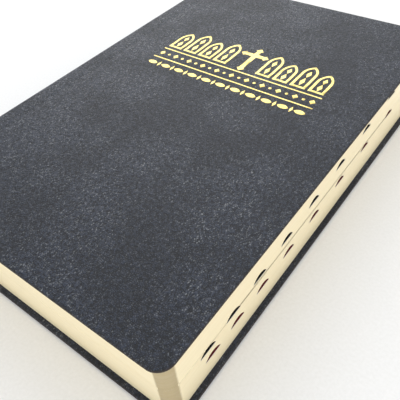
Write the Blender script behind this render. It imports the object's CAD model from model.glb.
import math

import bmesh
import bpy
from mathutils import Matrix, Vector, noise


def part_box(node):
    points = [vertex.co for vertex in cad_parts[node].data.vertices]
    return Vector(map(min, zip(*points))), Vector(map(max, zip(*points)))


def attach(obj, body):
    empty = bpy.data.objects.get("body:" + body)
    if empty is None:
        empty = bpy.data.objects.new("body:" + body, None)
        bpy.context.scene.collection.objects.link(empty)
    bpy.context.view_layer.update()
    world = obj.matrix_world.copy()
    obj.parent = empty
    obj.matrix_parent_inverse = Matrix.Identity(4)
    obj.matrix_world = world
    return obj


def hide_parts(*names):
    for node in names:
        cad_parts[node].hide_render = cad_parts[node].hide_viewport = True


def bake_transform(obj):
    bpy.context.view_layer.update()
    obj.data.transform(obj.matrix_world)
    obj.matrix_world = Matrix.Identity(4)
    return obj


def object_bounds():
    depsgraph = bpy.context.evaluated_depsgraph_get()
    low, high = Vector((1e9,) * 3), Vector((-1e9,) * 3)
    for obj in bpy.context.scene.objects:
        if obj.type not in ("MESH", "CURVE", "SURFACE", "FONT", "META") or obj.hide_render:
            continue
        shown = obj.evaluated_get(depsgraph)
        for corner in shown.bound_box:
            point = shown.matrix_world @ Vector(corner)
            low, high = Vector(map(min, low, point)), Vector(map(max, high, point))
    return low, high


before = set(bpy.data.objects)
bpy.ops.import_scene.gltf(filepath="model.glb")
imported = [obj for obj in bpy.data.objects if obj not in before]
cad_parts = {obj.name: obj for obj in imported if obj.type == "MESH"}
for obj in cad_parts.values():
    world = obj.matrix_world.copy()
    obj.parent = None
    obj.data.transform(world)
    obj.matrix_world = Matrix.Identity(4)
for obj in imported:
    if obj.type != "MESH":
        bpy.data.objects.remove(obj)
cad_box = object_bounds()


# ---- Signatures ----
# The text block is 24 signatures of thin bible paper, sewn, pressed, trimmed and rounded at the
# fore-edge corners. Its three trimmed sides are gilded, and the thumb cuts are made afterwards,
# so inside a cut the paper is bare. The pages are printed in two columns of small type.

MM = 0.001
spine_x, half_height, book_top = cad_box[0].x, cad_box[1].y, cad_box[1].z
block_fore, block_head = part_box("signature_01")[1].x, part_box("signature_01")[1].y
block_tail = -block_head
corner_reach = 5.2 * MM                  # how far the rounded corners reach along the edges
gilt_colour = (0.99, 0.86, 0.57, 1)
gilt_deep = (0.96, 0.80, 0.49, 1)
corner_tan = (0.42, 0.33, 0.18, 1)
paper_colour = (0.86, 0.83, 0.75, 1)
ink_colour = (0.09, 0.085, 0.08, 1)


def set_inputs(tree, node, inputs):
    for name, value in inputs.items():
        socket = node.inputs[name]
        if isinstance(value, bpy.types.NodeSocket):
            tree.links.new(value, socket)
        else:
            socket.default_value = value


def add(tree, kind, inputs=None, **settings):
    """One shader node, with its settings and its inputs, which are values or other nodes' sockets."""
    node = tree.nodes.new(kind)
    for name, value in settings.items():
        setattr(node, name, value)
    set_inputs(tree, node, inputs or {})
    return node


def calc(tree, operation, *values):
    inputs = dict(enumerate(values))
    return add(tree, "ShaderNodeMath", inputs, operation=operation).outputs[0]


def ramp(tree, value, low, high, to_low=0.0, to_high=1.0):
    """Smooth step of a value from low to high."""
    inputs = {"Value": value, "From Min": low, "From Max": high, "To Min": to_low, "To Max": to_high}
    return add(tree, "ShaderNodeMapRange", inputs, interpolation_type="SMOOTHSTEP").outputs["Result"]


def scaled(tree, vector, x, y, z):
    return add(tree, "ShaderNodeVectorMath", {0: vector, 1: (x, y, z)}, operation="MULTIPLY").outputs[0]


def blend_colour(tree, share, first, second):
    mix = add(tree, "ShaderNodeMix", {0: share}, data_type="RGBA")
    set_inputs(tree, mix, {6: first, 7: second})
    return mix.outputs[2]


def effect(name, inputs, outputs):
    """A shader node group with named inputs {name: kind or default} and outputs {name: kind}."""
    group = bpy.data.node_groups.new(name, "ShaderNodeTree")
    for label, default in inputs.items():
        kind = "NodeSocketVector" if default is None else "NodeSocketFloat"
        socket = group.interface.new_socket(label, in_out="INPUT", socket_type=kind)
        if default is not None:
            socket.default_value = default
    for label in outputs:
        group.interface.new_socket(label, in_out="OUTPUT", socket_type="NodeSocketFloat")
    return group, group.nodes.new("NodeGroupInput").outputs, group.nodes.new("NodeGroupOutput")


def grouped(tree, group, labels):
    node = tree.nodes.new("ShaderNodeGroup")
    node.node_tree = group
    set_inputs(tree, node, labels)
    return node


def material(name, bends=False):
    """A material, its node tree, its shader, and where on the piece a point is and which way it faces.
    On a piece that bends, both are those of the closed book, so that the pattern bends with it."""
    made = bpy.data.materials.new(name)
    made.use_nodes = True
    tree = made.node_tree
    if bends:
        where = {label: add(tree, "ShaderNodeAttribute", attribute_name=source).outputs["Vector"]
                 for label, source in (("Object", "closed_place"), ("Normal", "closed_facing"))}
    else:
        where = tree.nodes.new("ShaderNodeTexCoord").outputs
    return made, tree, tree.nodes["Principled BSDF"], where


def bump(tree, height, distance, strength=1.0):
    inputs = {"Height": height, "Distance": distance, "Strength": strength}
    return add(tree, "ShaderNodeBump", inputs).outputs["Normal"]


def dress(made, *names):
    for name in names:
        for material_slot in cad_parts[name].material_slots:
            material_slot.material = made


# Leaves seen edge on: fine lines and broader bands between gatherings, wavering along the edge
page_lines, given, out = effect("page_lines", {"Position": None}, ["Lines", "Bands"])
fine = scaled(page_lines, given["Position"], 14, 14, 7000)
fine = add(page_lines, "ShaderNodeTexNoise", {"Vector": fine, "Scale": 1.0, "Detail": 2.0})
broad = scaled(page_lines, given["Position"], 9, 9, 900)
broad = add(page_lines, "ShaderNodeTexNoise", {"Vector": broad, "Scale": 1.0, "Detail": 3.0})
set_inputs(page_lines, out, {"Lines": ramp(page_lines, fine.outputs[0], 0.3, 0.7),
                             "Bands": ramp(page_lines, broad.outputs[0], 0.35, 0.65)})

# Fibres and slight cloudiness of paper and card
paper_fibre, given, out = effect("paper_fibre", {"Position": None, "Scale": 1.0}, ["Fibre", "Cloud"])
fibre_place = scaled(paper_fibre, given["Position"], 2600, 900, 2600)
fibre = {"Vector": fibre_place, "Scale": given["Scale"], "Detail": 3.0}
fibre = add(paper_fibre, "ShaderNodeTexNoise", fibre)
cloud = add(paper_fibre, "ShaderNodeTexNoise", {"Vector": given["Position"], "Scale": 90.0, "Detail": 2.0})
set_inputs(paper_fibre, out, {"Fibre": fibre.outputs[0], "Cloud": cloud.outputs[0]})

# Rows of small type in two columns, as grey word-length dashes that can't be read
printed_rows, given, out = effect("printed_rows", {"Position": None}, ["Ink"])
axes = add(printed_rows, "ShaderNodeSeparateXYZ", {0: given["Position"]}).outputs
row_pitch, word_pitch, column_centre, column_half = 2.55 * MM, 2.1 * MM, 28 * MM, 23.5 * MM
row_place = calc(printed_rows, "DIVIDE", axes["Y"], row_pitch)
row_number = calc(printed_rows, "FLOOR", row_place)
in_row = calc(printed_rows, "SUBTRACT", calc(printed_rows, "FRACT", row_place), 0.5)
in_row = calc(printed_rows, "ABSOLUTE", in_row)
in_row = calc(printed_rows, "LESS_THAN", in_row, 0.23)
from_middle = calc(printed_rows, "ABSOLUTE", calc(printed_rows, "SUBTRACT", axes["X"], 1.5 * MM))
in_column = calc(printed_rows, "ABSOLUTE", calc(printed_rows, "SUBTRACT", from_middle, column_centre))
in_column = calc(printed_rows, "LESS_THAN", in_column, column_half)
in_page = calc(printed_rows, "LESS_THAN", calc(printed_rows, "ABSOLUTE", axes["Y"]), 91 * MM)
word = calc(printed_rows, "FLOOR", calc(printed_rows, "DIVIDE", axes["X"], word_pitch))
word_key = add(printed_rows, "ShaderNodeCombineXYZ", {"X": word, "Y": row_number}).outputs[0]
word_there = add(printed_rows, "ShaderNodeTexWhiteNoise", {"Vector": word_key}, noise_dimensions="2D")
word_there = calc(printed_rows, "GREATER_THAN", word_there.outputs["Value"], 0.14)
stroke_place = scaled(printed_rows, given["Position"], 2400, 1700, 0)
stroke = add(printed_rows, "ShaderNodeTexNoise", {"Vector": stroke_place, "Scale": 1.0, "Detail": 0.0})
stroke = ramp(printed_rows, stroke.outputs[0], 0.4, 0.55)
ink = calc(printed_rows, "MULTIPLY", calc(printed_rows, "MULTIPLY", in_row, in_column), in_page)
ink = calc(printed_rows, "MULTIPLY", calc(printed_rows, "MULTIPLY", ink, word_there), stroke)
set_inputs(printed_rows, out, {"Ink": ink})


def page_material(name, printed, bends, paper_tints=(paper_colour, (0.80, 0.75, 0.64, 1))):
    """Paper on the faces of the leaves, gilding on their three trimmed edges."""
    made, tree, shader, where = material(name, bends)
    at = add(tree, "ShaderNodeSeparateXYZ", {0: where["Object"]}).outputs
    facing = add(tree, "ShaderNodeSeparateXYZ", {0: where["Normal"]}).outputs
    side_on = [calc(tree, "ABSOLUTE", facing[axis]) for axis in "XYZ"]
    is_edge = ramp(tree, side_on[2], 0.75, 0.45)
    behind_fore_edge = calc(tree, "LESS_THAN", at["X"], block_fore - 0.3 * MM)
    from_head = calc(tree, "LESS_THAN", calc(tree, "ABSOLUTE", at["Y"]), block_head - corner_reach)
    bare = calc(tree, "MULTIPLY", behind_fore_edge, from_head)
    gilded = calc(tree, "MULTIPLY", is_edge, calc(tree, "SUBTRACT", 1.0, bare))
    on_corner = ramp(tree, calc(tree, "MINIMUM", side_on[0], side_on[1]), 0.06, 0.16)
    on_corner = calc(tree, "MULTIPLY", on_corner, gilded)
    lines = grouped(tree, page_lines, {"Position": where["Object"]}).outputs
    fibres = grouped(tree, paper_fibre, {"Position": where["Object"]}).outputs
    gilt = blend_colour(tree, calc(tree, "MULTIPLY", lines["Bands"], 0.35), gilt_colour, gilt_deep)
    worn = calc(tree, "MULTIPLY", calc(tree, "MULTIPLY", lines["Lines"], lines["Bands"]), 0.18)
    gilt = blend_colour(tree, worn, gilt, paper_colour)
    gilt = blend_colour(tree, calc(tree, "MULTIPLY", on_corner, 0.9), gilt, corner_tan)
    paper = blend_colour(tree, ramp(tree, fibres["Cloud"], 0.35, 0.7, 0.0, 0.25), *paper_tints)
    if printed:
        ink = grouped(tree, printed_rows, {"Position": where["Object"]}).outputs["Ink"]
        paper = blend_colour(tree, calc(tree, "MULTIPLY", ink, 0.72), paper, ink_colour)
    rough = ramp(tree, lines["Bands"], 0.0, 1.0, 0.30, 0.42)
    rough = calc(tree, "ADD", rough, calc(tree, "MULTIPLY", on_corner, 0.12))
    mix_rough = add(tree, "ShaderNodeMix", {0: gilded, 2: 0.75, 3: rough}, data_type="FLOAT").outputs[0]
    height = add(tree, "ShaderNodeMix", {0: is_edge, 2: fibres["Fibre"], 3: lines["Lines"]},
                 data_type="FLOAT").outputs[0]
    set_inputs(tree, shader, {
        "Base Color": blend_colour(tree, gilded, paper, gilt),
        "Metallic": calc(tree, "MULTIPLY", gilded, 0.2),
        "Roughness": mix_rough,
        "Specular IOR Level": 0.35,
        "Normal": bump(tree, height, 0.02 * MM, 0.35),
    })
    return made


signature_names = [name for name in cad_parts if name.startswith("signature_")]
bible_pages = page_material("gilt_bible_pages", printed=True, bends=False)
dress(bible_pages, *signature_names)


# ---- Sewing ----
# The signatures are sewn through their folds with white linen thread at five stations, and the
# thread lies across the backs of the folds.

# Plies of a twisted thread or cord, winding along its length
thread_twist, given, out = effect("thread_twist", {"Position": None, "Plies per metre": 2500.0}, ["Ply"])
axes = add(thread_twist, "ShaderNodeSeparateXYZ", {0: given["Position"]}).outputs
along = calc(thread_twist, "ADD", calc(thread_twist, "ADD", axes["Z"], axes["Y"]), axes["X"])
plies = calc(thread_twist, "MULTIPLY", given["Plies per metre"], math.tau)
turned = calc(thread_twist, "MULTIPLY", along, plies)
set_inputs(thread_twist, out, {"Ply": ramp(thread_twist, calc(thread_twist, "SINE", turned), -1.0, 1.0)})

linen, tree, shader, where = material("white_linen_thread")
ply = grouped(tree, thread_twist, {"Position": where["Object"]}).outputs["Ply"]
set_inputs(tree, shader, {
    "Base Color": blend_colour(tree, ply, (0.62, 0.58, 0.50, 1), (0.87, 0.85, 0.80, 1)),
    "Roughness": 0.8,
    "Sheen Weight": 0.3,
    "Normal": bump(tree, ply, 0.06 * MM, 0.8),
})
dress(linen, "sewing_thread_front", "sewing_thread_rear")


# ---- Spine lining ----
# Starched open-weave gauze is glued over the sewn folds, with a stiff paper inlay outside it that
# keeps the round of the spine.

gauze_weave, given, out = effect("gauze_weave", {"Position": None, "Threads per metre": 900.0}, ["Weave"])
axes = add(gauze_weave, "ShaderNodeSeparateXYZ", {0: given["Position"]}).outputs
threads = calc(gauze_weave, "MULTIPLY", given["Threads per metre"], math.tau)
warp = calc(gauze_weave, "SINE", calc(gauze_weave, "MULTIPLY", axes["Y"], threads))
weft = calc(gauze_weave, "SINE", calc(gauze_weave, "MULTIPLY", axes["Z"], threads))
either = calc(gauze_weave, "MAXIMUM", warp, weft)
set_inputs(gauze_weave, out, {"Weave": ramp(gauze_weave, either, 0.0, 0.9)})

gauze, tree, shader, where = material("spine_gauze")
weave = grouped(tree, gauze_weave, {"Position": where["Object"]}).outputs["Weave"]
set_inputs(tree, shader, {
    "Base Color": blend_colour(tree, weave, (0.42, 0.34, 0.22, 1), (0.83, 0.80, 0.72, 1)),
    "Roughness": 0.85,
    "Normal": bump(tree, weave, 0.12 * MM, 0.9),
})
dress(gauze, "spine_lining_front", "spine_lining_rear")

card, tree, shader, where = material("grey_board")
fibres = grouped(tree, paper_fibre, {"Position": where["Object"], "Scale": 0.5}).outputs
set_inputs(tree, shader, {
    "Base Color": blend_colour(tree, fibres["Fibre"], (0.30, 0.26, 0.20, 1), (0.55, 0.49, 0.40, 1)),
    "Roughness": 0.85,
    "Normal": bump(tree, fibres["Fibre"], 0.05 * MM, 0.6),
})
dress(card, "spine_inlay_front", "spine_inlay_rear")


# ---- Head and tail bands ----
# A thin cord is overwound with silk in alternating gold and black and glued over the ends of the
# folds, where it fills the gap under the turned-in leather.

def finished(name, bm, made, body=None, sharp=40):
    """Turns a bmesh into a piece with its material, body and material slot."""
    bmesh.ops.recalc_face_normals(bm, faces=bm.faces)
    mesh = bpy.data.meshes.new(name)
    bm.to_mesh(mesh)
    bm.free()
    for face in mesh.polygons:
        face.use_smooth = True
    mesh.set_sharp_from_angle(angle=math.radians(sharp))
    place_kept = mesh.attributes.new("closed_place", "FLOAT_VECTOR", "POINT")
    place_kept.data.foreach_set("vector", [c for v in mesh.vertices for c in v.co])
    facing_kept = mesh.attributes.new("closed_facing", "FLOAT_VECTOR", "FACE")
    facing_kept.data.foreach_set("vector", [c for face in mesh.polygons for c in face.normal])
    mesh.materials.append(made)
    piece = bpy.data.objects.new(name, mesh)
    bpy.context.scene.collection.objects.link(piece)
    if body:
        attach(piece, body)
    return piece


silk, tree, shader, where = material("band_silk")
axes = add(tree, "ShaderNodeSeparateXYZ", {0: where["Object"]}).outputs
stripe = calc(tree, "SINE", calc(tree, "MULTIPLY", axes["Z"], math.tau / (2.6 * MM)))
wound = calc(tree, "SINE", calc(tree, "MULTIPLY", axes["Z"], math.tau / (0.3 * MM)))
in_black = ramp(tree, stripe, -0.05, 0.05)
set_inputs(tree, shader, {
    "Base Color": blend_colour(tree, in_black, (0.70, 0.50, 0.16, 1), (0.03, 0.03, 0.04, 1)),
    "Roughness": ramp(tree, wound, -1.0, 1.0, 0.55, 0.38),
    "Sheen Weight": 0.4,
    "Normal": bump(tree, wound, 0.05 * MM, 0.6),
})

turns_per_band, sides, half_thickness = 34, 14, book_top / 2
spine_radius = (half_thickness ** 2 + (2.5 * MM) ** 2) / (5 * MM)
spine_axis_x = spine_x + spine_radius
for end in ("head", "tail"):
    for half in ("front", "rear"):
        low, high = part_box(f"{end}_band_{half}")
        cord_radius = (high.y - low.y) / 2
        arc_radius = spine_axis_x - low.x - cord_radius
        rise = max(abs(low.z - half_thickness), abs(high.z - half_thickness)) - 0.3 * MM
        reach = math.asin(rise / arc_radius)
        sign = 1 if half == "front" else -1
        bm = bmesh.new()
        rings = []
        for k in range(turns_per_band * 4 + 1):
            angle = sign * (0.004 + (reach - 0.004) * k / (turns_per_band * 4))
            swell = cord_radius * (1 - 0.07 * (k % 4 == 0))
            if k in (0, turns_per_band * 4):
                swell *= 0.8
            outward = Vector((-math.cos(angle), 0, math.sin(angle)))
            centre = Vector((spine_axis_x, (low.y + high.y) / 2, half_thickness)) + outward * arc_radius
            ring = []
            for t in [math.tau * i / sides for i in range(sides)]:
                around = math.cos(t) * outward + math.sin(t) * Vector((0, 1, 0))
                ring.append(bm.verts.new(centre + swell * around))
            rings.append(ring)
        for first, second in zip(rings, rings[1:]):
            for i in range(sides):
                bm.faces.new((first[i], first[(i + 1) % sides], second[(i + 1) % sides], second[i]))
        bm.faces.new(rings[0])
        bm.faces.new(rings[-1])
        band = finished(f"{end}_band_worked_{half}", bm, silk, f"{half}_block")
        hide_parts(f"{end}_band_{half}")


# ---- Turning leaves ----
# At the middle opening a few leaves turn one after another. Each is sewn in at the fold and bends
# there, so its inner margin stays with the rear half and the rest rises in a curve.

def sliced(node, x_places=(), y_places=()):
    """A copy of a flat CAD piece as a bmesh, cut across at these places so that it can bend."""
    bm = bmesh.new()
    bm.from_mesh(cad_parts[node].data)
    bmesh.ops.remove_doubles(bm, verts=bm.verts, dist=1e-7)
    for places, normal in ((x_places, (1, 0, 0)), (y_places, (0, 1, 0))):
        for p in places:
            everything = bm.verts[:] + bm.edges[:] + bm.faces[:]
            bmesh.ops.bisect_plane(bm, geom=everything, plane_co=Vector(normal) * p, plane_no=normal)
    return bm


def spread(first, last, step):
    count = max(1, round((last - first) / step))
    return [first + (last - first) * k / count for k in range(count + 1)]


turning_pages = page_material("turning_bible_pages", printed=True, bends=True)
root_end = spine_x + 42 * MM             # the bend in an inner margin ends here
between_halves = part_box("signature_13")[0].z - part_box("signature_12")[1].z
for number in range(1, 5):
    node = f"turning_leaf_{number}"
    low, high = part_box(node)
    middle = half_thickness + (number - 2.5) * between_halves / 4
    bm = sliced(node, spread(low.x + 1 * MM, root_end, 1.2 * MM))
    for v in bm.verts:
        # the leaves swell away from the fold, to fill the play between the two halves of the block
        outside = min(1.0, max(0.0, (v.co.x - low.x) / (20 * MM)))
        top_side = 1 if v.co.z > (low.z + high.z) / 2 else -1
        v.co.z = middle + top_side * between_halves / 8 * (0.45 + 0.54 * outside)
    leaf = finished(f"bible_leaf_{number}", bm, turning_pages)
    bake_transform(leaf)
    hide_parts(node)

# The folded sheet at the middle of the book closes the gutter between its two halves
gutter_reach, fold_back = spine_x + 9 * MM, 0.35 * MM
rear_top, front_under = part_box("signature_12")[1].z + 0.05 * MM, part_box("signature_13")[0].z - 0.05 * MM
fold_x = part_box("turning_leaf_2")[0].x - fold_back
bm = bmesh.new()
rounding = (front_under - rear_top) / 2
gutter_path = [(x, rear_top) for x in spread(gutter_reach, fold_x + rounding, -2 * MM)]
gutter_path += [(fold_x + rounding * (1 - math.sin(a)), half_thickness - rounding * math.cos(a))
                for a in [math.pi * k / 12 for k in range(1, 12)]]
gutter_path += [(x, front_under) for x in spread(fold_x + rounding, gutter_reach, 2 * MM)]
rows = [[bm.verts.new((x, y, z)) for y in spread(block_tail + 0.3 * MM, block_head - 0.3 * MM, 20 * MM)]
        for x, z in gutter_path]
for first, second in zip(rows, rows[1:]):
    for a, b, c, d in zip(first, first[1:], second[1:], second):
        bm.faces.new((a, b, c, d))
bmesh.ops.solidify(bm, geom=bm.faces[:], thickness=0.04 * MM)
gutter = finished("centre_gutter_sheet", bm, turning_pages)
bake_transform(gutter)


# ---- Endpapers ----
# A heavier cream sheet is pasted to the inside of each cover and its other half is left free as a
# flyleaf. The fold between the two is the inner hinge of the cover.

endpaper_tints = (0.66, 0.59, 0.46, 1), (0.52, 0.45, 0.33, 1)
endpaper = page_material("cream_pastedown", False, False, endpaper_tints)
dress(endpaper, "front_pastedown", "back_pastedown")
loose_endpaper = page_material("cream_flyleaf", False, True, endpaper_tints)
for side, block in (("front", "front_block"), ("back", "rear_block")):
    node = f"{side}_flyleaf"
    low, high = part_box(node)
    bm = sliced(node, spread(low.x + 1 * MM, low.x + 26 * MM, 1.2 * MM))
    flyleaf = finished(f"{side}_flyleaf_sheet", bm, loose_endpaper)
    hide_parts(node)
    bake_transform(flyleaf)

    # Hinge fold, drawn short while the book is closed and pulled out as the cover opens
    paste_low, paste_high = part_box(f"{side}_pastedown")
    block_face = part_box("signature_24")[1].z if side == "front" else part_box("signature_01")[0].z
    cover_face = paste_low.z if side == "front" else paste_high.z
    hinge_x = low.x - 0.25 * MM
    bm = bmesh.new()
    rows = []
    for z in spread(block_face, cover_face, (cover_face - block_face) / 14):
        rows.append([bm.verts.new((hinge_x, y, z))
                     for y in spread(block_tail + 1 * MM, block_head - 1 * MM, 20 * MM)])
    for first, second in zip(rows, rows[1:]):
        for a, b, c, d in zip(first, first[1:], second[1:], second):
            bm.faces.new((a, b, c, d))
    bmesh.ops.solidify(bm, geom=bm.faces[:], thickness=0.12 * MM)
    fold = finished(f"{side}_endpaper_hinge", bm, loose_endpaper)
    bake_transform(fold)


# ---- Thumb index ----
# Half-moon cuts step up the fore-edge in two rows. The page at the bottom of each cut carries a
# small glazed label, black in the upper row and dark red in the lower.

for row, deep, light in (("black", (0.002, 0.002, 0.002, 1), (0.005, 0.005, 0.005, 1)),
                         ("red", (0.08, 0.004, 0.006, 1), (0.15, 0.008, 0.012, 1))):
    label, tree, shader, where = material(f"{row}_label")
    fibres = grouped(tree, paper_fibre, {"Position": where["Object"]}).outputs
    set_inputs(tree, shader, {
        "Base Color": blend_colour(tree, fibres["Fibre"], deep, light),
        "Roughness": ramp(tree, fibres["Cloud"], 0.2, 0.8, 0.45, 0.6),
        "Specular IOR Level": 0.2,
        "Normal": bump(tree, fibres["Fibre"], 0.01 * MM, 0.4),
    })
    dress(label, f"{row}_labels_front", f"{row}_labels_rear")


# ---- Cover boards ----
# Thin flexible grey board stiffens each cover between the leather and the pastedown.

dress(card, "front_cover_board", "back_cover_board")


# ---- Leather case ----
# One piece of grained black imitation leather wraps the boards and the spine. It is turned over
# the board edges and pressed into a shallow groove along each joint, and is turned in at the head
# and tail of the spine. Here it is three pieces that meet on the round of the spine.

leather_dark, leather_light = (0.001, 0.002, 0.005, 1), (0.019, 0.026, 0.046, 1)
leather_polished = (0.20, 0.21, 0.22, 1)
edge_brown = (0.045, 0.027, 0.015, 1)

# Pebbled grain, drawn out into creases along the book in places; some pebbles are polished by use
grain_scales = {"Position": None, "Pebble": 2000.0, "Crease": 1700.0}
leather_grain, given, out = effect("leather_grain", grain_scales, ["Height", "Creased", "Polish"])
wander = {"Vector": given["Position"], "Scale": 500.0, "Detail": 1.0}
wander = add(leather_grain, "ShaderNodeTexNoise", wander)
wander = scaled(leather_grain, wander.outputs["Color"], 0.0008, 0.0008, 0.0008)
warped = {0: given["Position"], 1: wander}
warped = add(leather_grain, "ShaderNodeVectorMath", warped, operation="ADD").outputs[0]
cells = {"Vector": scaled(leather_grain, warped, 1, 0.7, 1), "Scale": given["Pebble"], "Randomness": 0.95}
pebble = add(leather_grain, "ShaderNodeTexVoronoi", cells, feature="DISTANCE_TO_EDGE")
pebble = ramp(leather_grain, pebble.outputs["Distance"], 0.0, 0.4)
each = add(leather_grain, "ShaderNodeTexVoronoi", cells, feature="F1").outputs["Color"]
each = add(leather_grain, "ShaderNodeSeparateColor", {0: each}).outputs
crease = add(leather_grain, "ShaderNodeTexNoise",
             {"Vector": scaled(leather_grain, warped, 1, 0.5, 1), "Scale": given["Crease"], "Detail": 1.0})
crease = calc(leather_grain, "ABSOLUTE", calc(leather_grain, "SUBTRACT", crease.outputs[0], 0.5))
crease = ramp(leather_grain, crease, 0.0, 0.12)
cloud = {"Vector": given["Position"], "Scale": 35.0, "Detail": 3.0}
cloud = add(leather_grain, "ShaderNodeTexNoise", cloud)
share = ramp(leather_grain, cloud.outputs[0], 0.35, 0.65, 0.2, 0.6)
rise = ramp(leather_grain, each[0], 0.0, 1.0, 0.45, 1.0)
raised = calc(leather_grain, "MULTIPLY", pebble, rise)
height = {0: share, 2: raised, 3: crease}
height = add(leather_grain, "ShaderNodeMix", height, data_type="FLOAT").outputs[0]
tilt = {"Vector": given["Position"], "Scale": 800.0, "Detail": 0.0}
tilt = add(leather_grain, "ShaderNodeTexNoise", tilt).outputs[0]
height = calc(leather_grain, "MULTIPLY", height, 0.7)
height = calc(leather_grain, "MULTIPLY_ADD", tilt, 0.5, height)
polish = calc(leather_grain, "MULTIPLY", ramp(leather_grain, each[1], 0.62, 0.95), pebble)
worn = ramp(leather_grain, cloud.outputs[0], 0.35, 0.62, 0.35, 1.0)
polish = calc(leather_grain, "MULTIPLY", polish, worn)
set_inputs(leather_grain, out, {"Height": height, "Creased": crease, "Polish": polish})

leather, tree, shader, where = material("black_grained_leather", bends=True)
grain = grouped(tree, leather_grain, {"Position": where["Object"]}).outputs
turned_edge = add(tree, "ShaderNodeAttribute", attribute_name="turned_edge").outputs["Fac"]
colour = blend_colour(tree, ramp(tree, grain["Height"], 0.3, 0.8), leather_dark, leather_light)
colour = blend_colour(tree, calc(tree, "MULTIPLY", grain["Polish"], 0.8), colour, leather_polished)
colour = blend_colour(tree, calc(tree, "MULTIPLY", turned_edge, 0.85), colour, edge_brown)
rough = ramp(tree, grain["Height"], 0.2, 1.0, 0.66, 0.44)
rough = calc(tree, "SUBTRACT", rough, calc(tree, "MULTIPLY", grain["Polish"], 0.22))
set_inputs(tree, shader, {
    "Base Color": colour,
    "Roughness": rough,
    "Specular IOR Level": 0.46,
    "Normal": bump(tree, grain["Height"], 0.25 * MM, 1.0),
})

shoulder_radius, cover_corner, leather_t = 3 * MM, 6 * MM, 0.5 * MM
cover_t, spine_t, turn_in, pared_t = 1.2 * MM, 1.15 * MM, 4 * MM, 0.15 * MM
groove_x, groove_depth, groove_half = spine_x + 12.5 * MM, 0.3 * MM, 1.8 * MM
shoulder_angle = math.asin((half_thickness - shoulder_radius) / (spine_radius - shoulder_radius))
shoulder_x = spine_axis_x - (spine_radius - shoulder_radius) * math.cos(shoulder_angle)
arc_end = spine_radius * shoulder_angle
flat_start = arc_end + shoulder_radius * (math.pi / 2 - shoulder_angle)


def case_section(s):
    """Point and outward direction of the case's outer face, s along it from the middle of the spine."""
    side, s = (1, s) if s >= 0 else (-1, -s)
    if s < arc_end:
        angle, radius, centre = s / spine_radius, spine_radius, (spine_axis_x, half_thickness)
    else:
        angle = min(shoulder_angle + (s - arc_end) / shoulder_radius, math.pi / 2)
        radius, centre = shoulder_radius, (shoulder_x, book_top - shoulder_radius)
    x = centre[0] - radius * math.cos(angle) + max(0.0, s - flat_start)
    z = centre[1] + radius * math.sin(angle)
    if side < 0:
        z = book_top - z
    return Vector((x, 0, z)), Vector((-math.cos(angle), 0, side * math.sin(angle)))


def settle(x, y):
    """How far the flexible cover has sunk below flat at a place, in its groove and its slight waves."""
    groove = groove_depth * math.exp(-((x - groove_x) / groove_half) ** 2)
    wave = noise.noise(Vector((x * 22, y * 16, 3.7))) + 0.5 * noise.noise(Vector((x * 55, y * 40, 9.1)))
    away_from_spine = min(1.0, max(0.0, (x - shoulder_x) / (6 * MM)))
    return groove + (0.07 + 0.05 * wave) * MM + 0.05 * MM * wave * away_from_spine


def case_point(s, y, depth):
    point, outward = case_section(s)
    sunk = settle(point.x, y) * max(0.0, 1 - depth / leather_t)
    return Vector((point.x, y, point.z)) - outward * (depth + sunk)


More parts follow.
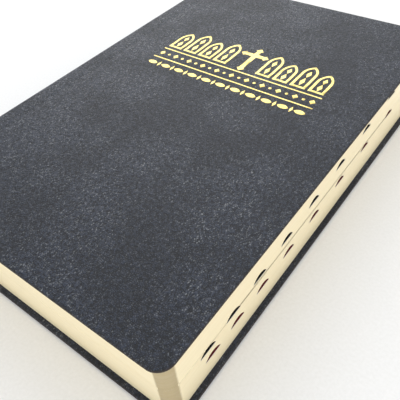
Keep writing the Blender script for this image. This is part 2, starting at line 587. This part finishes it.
def leather_panel(name, s_list, fore_s=None):
    """Case leather over s_list and out to a fore-edge at fore_s, turned over its edges as a hollow shell."""
    bm = bmesh.new()
    edge_layer = bm.verts.layers.float.new("turned_edge")
    rows = 84
    corner_steps = 10 if fore_s else 0
    side = -1 if s_list[-1] < 0 else 1

    def plan(i, v, inset, corner):
        """Place of a grid point on the case, for an outline taken in by inset."""
        straight_height = half_height - inset
        if i < len(s_list):
            return s_list[i], v * straight_height
        turn = (i - len(s_list) + 1) / corner_steps * math.pi / 2
        s = fore_s - inset - corner + corner * math.sin(turn)
        return side * s, v * (straight_height - corner + corner * math.cos(turn))

    columns = len(s_list) + corner_steps

    def thickness(i):
        s = abs(s_list[min(i, len(s_list) - 1)])
        share = min(1.0, max(0.0, (s - flat_start) / (4 * MM)))
        return spine_t + (cover_t - spine_t) * share

    def vertex(i, v, inset, corner, depth, edge):
        made = bm.verts.new(case_point(*plan(i, v, inset, corner), depth))
        made[edge_layer] = edge
        return made

    def rim(inset, corner, depth_of, edge):
        """Vertices round the outline at one step of the edge profile, tail, fore-edge, head."""
        tail = [vertex(i, -1, inset, corner, depth_of(i), edge) for i in range(columns)]
        head = [vertex(i, 1, inset, corner, depth_of(i), edge) for i in range(columns)]
        if not fore_s:
            return [tail, head]
        last = columns - 1
        fore = [vertex(last, -1 + 2 * j / rows, inset, corner, depth_of(last), edge) for j in range(1, rows)]
        return [tail + fore + head[::-1]]

    def sheet(inset, corner, depth_of):
        grid = [[vertex(i, -1 + 2 * j / rows, inset, corner, depth_of(i), 0) for j in range(rows + 1)]
                for i in range(columns)]
        for first, second in zip(grid, grid[1:]):
            for a, b, c, d in zip(first, first[1:], second[1:], second):
                bm.faces.new((a, b, c, d))
        tail, head = [column[0] for column in grid], [column[-1] for column in grid]
        return [tail, head] if not fore_s else [tail + grid[-1][1:-1] + head[::-1]]

    roll = cover_t / 2
    rims = [sheet(roll, cover_corner - roll, lambda i: 0.0)]
    for k in range(1, 9):
        a = math.pi * k / 8
        inset = roll * (1 - math.sin(a))
        rims.append(rim(inset, cover_corner - inset, lambda i: thickness(i) / 2 * (1 - math.cos(a)),
                        math.sin(a) ** 2))
    rims.append(rim(turn_in, cover_corner - turn_in / 2, thickness, 0.1))
    rims.append(rim(turn_in, cover_corner - turn_in / 2, lambda i: thickness(i) - pared_t, 0))
    board_edge = leather_t + 0.05 * MM
    rims.append(rim(board_edge, cover_corner - board_edge, lambda i: thickness(i) - pared_t, 0))
    rims.append(sheet(board_edge, cover_corner - board_edge, lambda i: leather_t))
    for outer, inner in zip(rims, rims[1:]):
        for first, second in zip(outer, inner):
            for a, b, c, d in zip(first, first[1:], second[1:], second):
                bm.faces.new((a, b, c, d))
    open_edges = [e for e in bm.edges if e.is_boundary]
    bmesh.ops.holes_fill(bm, edges=open_edges, sides=0)
    panel = finished(name, bm, leather, sharp=50)
    return panel


seam_s = 10 * MM
hinge_end = flat_start + groove_x - shoulder_x + 4 * MM
hinge_places = spread(seam_s, hinge_end, 0.5 * MM)
for side, sign, block in (("front", 1, "front_block"), ("back", -1, "rear_block")):
    fore_s = flat_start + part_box(f"{side}_cover_leather")[1].x - shoulder_x
    places = hinge_places + spread(hinge_end, fore_s - 8.5 * MM, 3 * MM)[1:]
    skin = leather_panel(f"{side}_cover_leather_skin", [sign * s for s in places], fore_s)
    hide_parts(f"{side}_cover_leather")
    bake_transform(skin)
spine_skin = leather_panel("spine_leather_skin", spread(-seam_s, seam_s, 0.5 * MM))
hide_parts("spine_leather_front", "spine_leather_rear")
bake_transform(spine_skin)


# ---- Gold ornament ----
# A band of church windows round a cross, with ruled lines and small flowers under it, is stamped
# through gold foil with a hot brass block, so the foil takes the grain of the leather.

gold, tree, shader, where = material("stamped_gold_foil", bends=True)
grain = grouped(tree, leather_grain, {"Position": where["Object"]}).outputs
set_inputs(tree, shader, {
    "Base Color": blend_colour(tree, grain["Height"], (0.74, 0.56, 0.15, 1), (0.93, 0.77, 0.28, 1)),
    "Metallic": 0.6,
    "Roughness": ramp(tree, grain["Creased"], 0.0, 1.0, 0.5, 0.34),
    "Normal": bump(tree, grain["Height"], 0.05 * MM, 0.5),
})
low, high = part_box("front_foil_ornament")
bm = sliced("front_foil_ornament", spread(low.x + 3 * MM, high.x - 3 * MM, 4 * MM),
            spread(low.y + 3 * MM, high.y - 3 * MM, 4 * MM))
foil_stand = 0.02 * MM
for v in bm.verts:
    surface = book_top - settle(v.co.x, v.co.y)
    v.co.z += surface + foil_stand - high.z
foil = finished("gold_foil_ornament", bm, gold, "front_cover")
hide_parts("front_foil_ornament")


# ---- Table, light and camera ----
# Pale cloth-covered table, a bright window beyond the book and soft light all round.

floor_mesh = bpy.data.meshes.new("table")
floor_mesh.from_pydata([(-2.5, -2.5, 0), (2.5, -2.5, 0), (2.5, 2.5, 0), (-2.5, 2.5, 0)], [], [(0, 1, 2, 3)])
table = bpy.data.objects.new("table", floor_mesh)
bpy.context.scene.collection.objects.link(table)
cloth, tree, shader, where = material("pale_table")
thread = add(tree, "ShaderNodeTexNoise", {"Vector": where["Object"], "Scale": 900.0, "Detail": 2.0})
set_inputs(tree, shader, {
    "Base Color": blend_colour(tree, thread.outputs[0], (0.80, 0.79, 0.77, 1), (0.90, 0.89, 0.88, 1)),
    "Roughness": 0.9,
    "Normal": bump(tree, thread.outputs[0], 0.1 * MM, 0.3),
})
floor_mesh.materials.append(cloth)

world = bpy.data.worlds.new("studio")
bpy.context.scene.world = world
world.use_nodes = True
world.node_tree.nodes["Background"].inputs["Color"].default_value = (0.93, 0.96, 1.0, 1)
world.node_tree.nodes["Background"].inputs["Strength"].default_value = 0.75


def soft_light(name, at, towards, size, power, colour=(1, 1, 1)):
    lamp = bpy.data.lights.new(name, "AREA")
    lamp.size, lamp.energy, lamp.color = size, power, colour
    holder = bpy.data.objects.new(name, lamp)
    holder.location = at
    holder.rotation_euler = (Vector(towards) - Vector(at)).to_track_quat("-Z", "Y").to_euler()
    bpy.context.scene.collection.objects.link(holder)


soft_light("window_beyond", (-0.85, 1.0, 0.85), (0, 0, 0), 1.4, 17)
soft_light("overhead", (0.0, 0.1, 1.3), (0, 0, 0), 1.0, 2)
soft_light("front_fill", (1.25, -1.5, 0.5), (0, 0, 0), 1.3, 18.5)

camera_data = bpy.data.cameras.new("camera")
camera_data.sensor_width = 36
camera_data.lens = 43.96
camera_data.clip_start = 0.01
camera = bpy.data.objects.new("camera", camera_data)
back = Vector((0.45656, -0.52583, 0.71767)).normalized()
right = Vector((0.79827, 0.59828, -0.06948)).normalized()
turn = Matrix((right, back.cross(right), back)).transposed().to_4x4()
camera.matrix_world = Matrix.Translation((0.11632, -0.13701, 0.15794)) @ turn
bpy.context.scene.collection.objects.link(camera)
bpy.context.scene.camera = camera
bpy.context.scene.view_settings.view_transform = "Standard"
